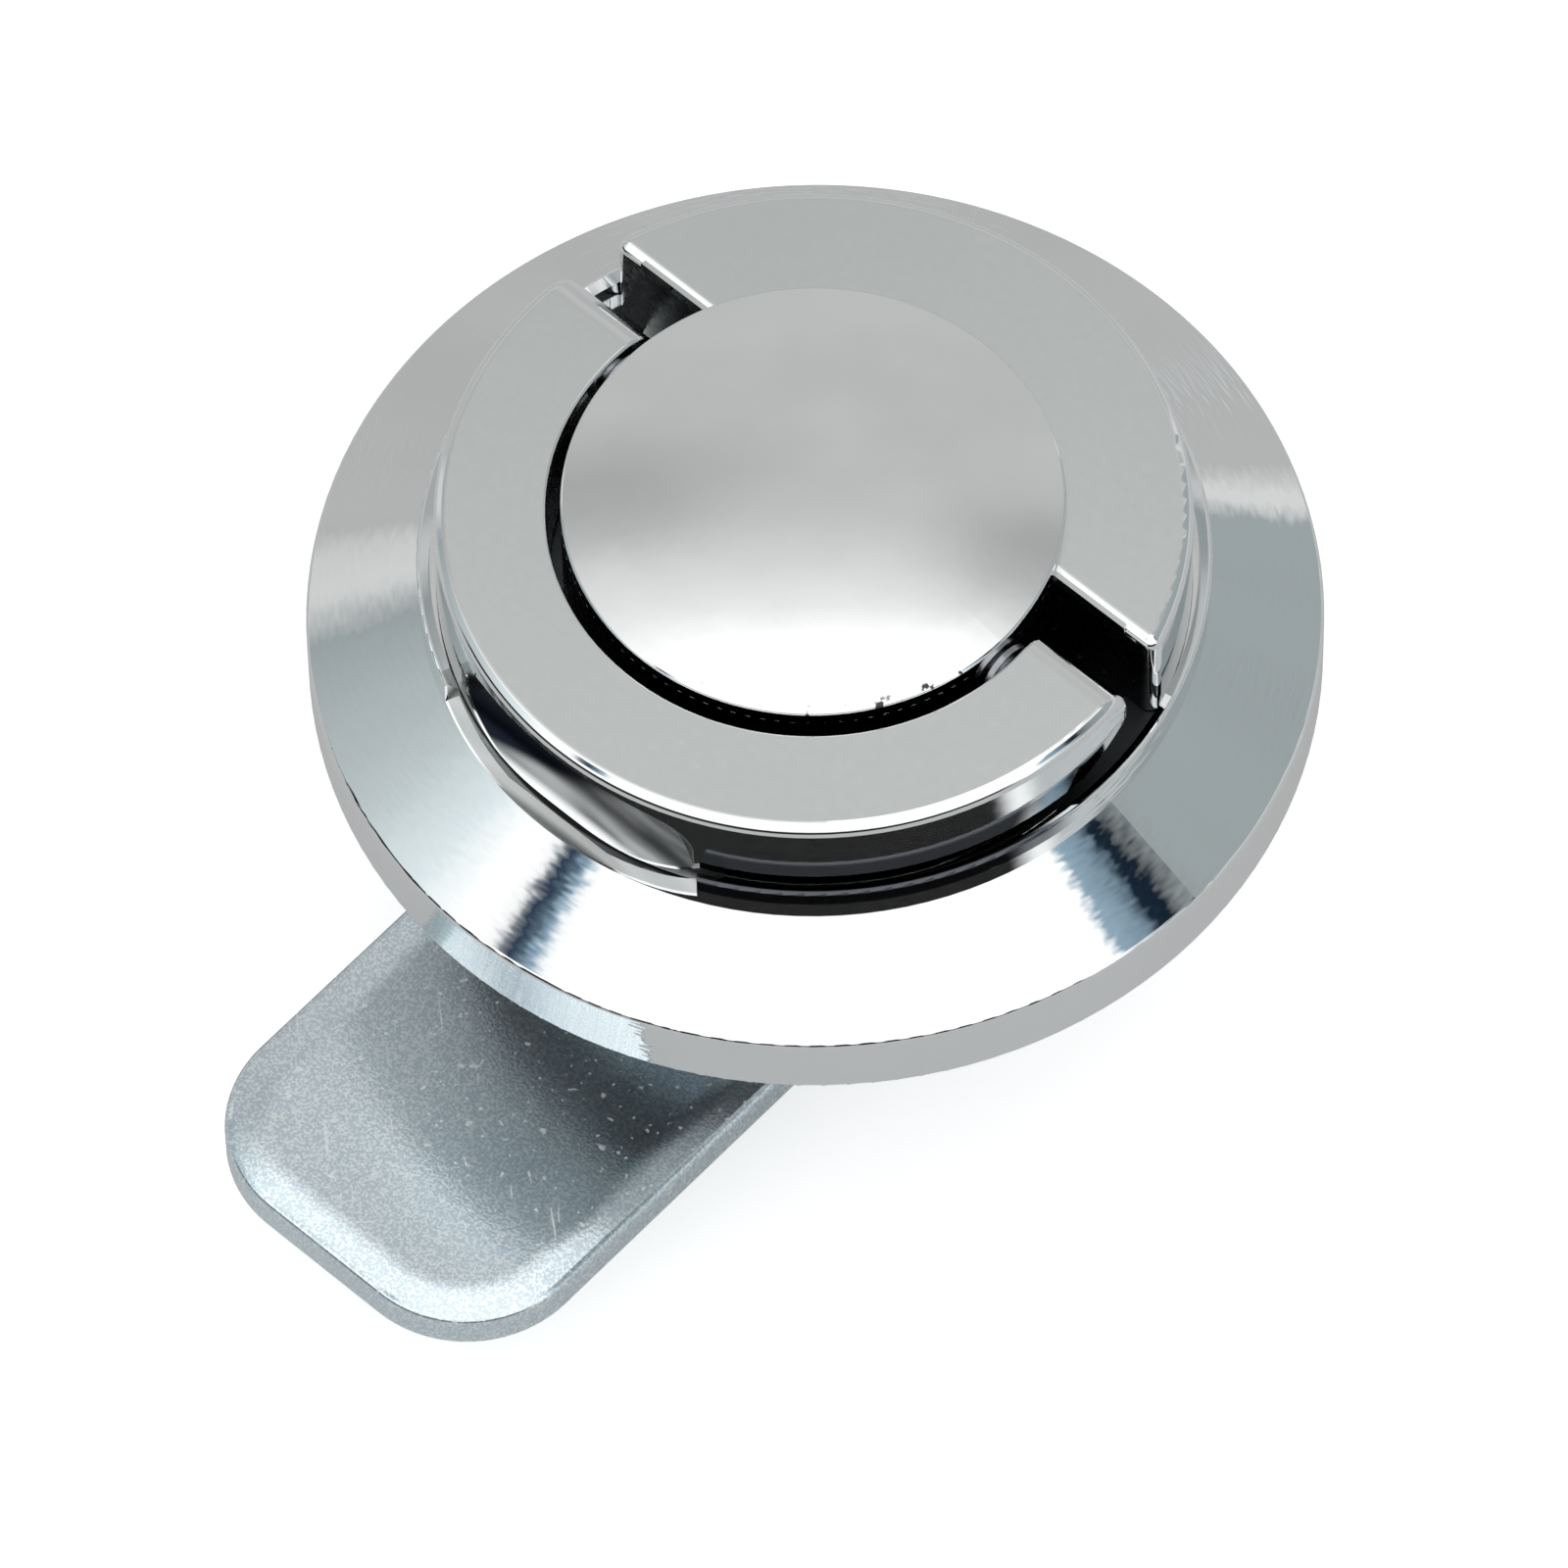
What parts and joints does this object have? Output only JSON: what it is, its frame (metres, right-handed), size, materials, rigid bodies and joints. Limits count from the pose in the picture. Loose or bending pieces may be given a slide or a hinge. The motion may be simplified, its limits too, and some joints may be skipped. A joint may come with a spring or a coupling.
{
  "type": "cam lock",
  "caption": "Round panel cam latch with a conical flange, a turning knob with a flip-up C-shaped handle, and a flat steel cam behind the panel.",
  "frame": {"origin": "on the turning axis, in the plane of the flange's back face, which seats on the panel", "axes": "+Z points out of the panel along the turning axis, towards the hand; the cam and the handle's middle point to -Y; the handle's hinge runs along X"},
  "size_m": [0.05, 0.0613, 0.0363],
  "materials": {
    "chrome": "polished chrome plate on a zinc die-casting",
    "satin_chrome": "chrome plate, satin on the flat top and bright on the edges",
    "zinc_steel": "bluish zinc plate on pressed steel, finely speckled",
    "fastener_steel": "zinc plate on turned steel",
    "spring_steel": "bare spring steel",
    "rubber": "matt black nitrile rubber",
    "slip_plastic": "natural acetal"
  },
  "bodies": {
    "housing": {"housing": "chrome", "flange_seal": "rubber", "thrust_washer": "slip_plastic", "tooth_washer": "fastener_steel", "mounting_nut": "fastener_steel"},
    "knob": {"rotor": "satin_chrome", "dome_cap": "chrome", "pivot_pin_left": "fastener_steel", "pivot_pin_right": "fastener_steel", "pivot_washer_left": "spring_steel", "pivot_washer_right": "spring_steel", "pivot_spring": "spring_steel", "spindle_seal": "rubber", "stop_washer": "zinc_steel", "disc_spring": "spring_steel", "cam": "zinc_steel", "cam_washer": "fastener_steel", "cam_lock_washer": "fastener_steel", "cam_bolt": "fastener_steel"},
    "handle": {"lift_handle": "satin_chrome"}
  },
  "joints": [
    {"name": "knob_turn", "type": "hinge", "parent": "housing", "child": "knob", "pos_m": [0, 0, 0], "axis": [0, 0, 1], "range_deg": [0, 90]},
    {"name": "handle_lift", "type": "hinge", "parent": "knob", "child": "handle", "pos_m": [0, 0, 0.01155], "axis": [-1, 0, 0], "range_deg": [0, 90]}
  ]
}
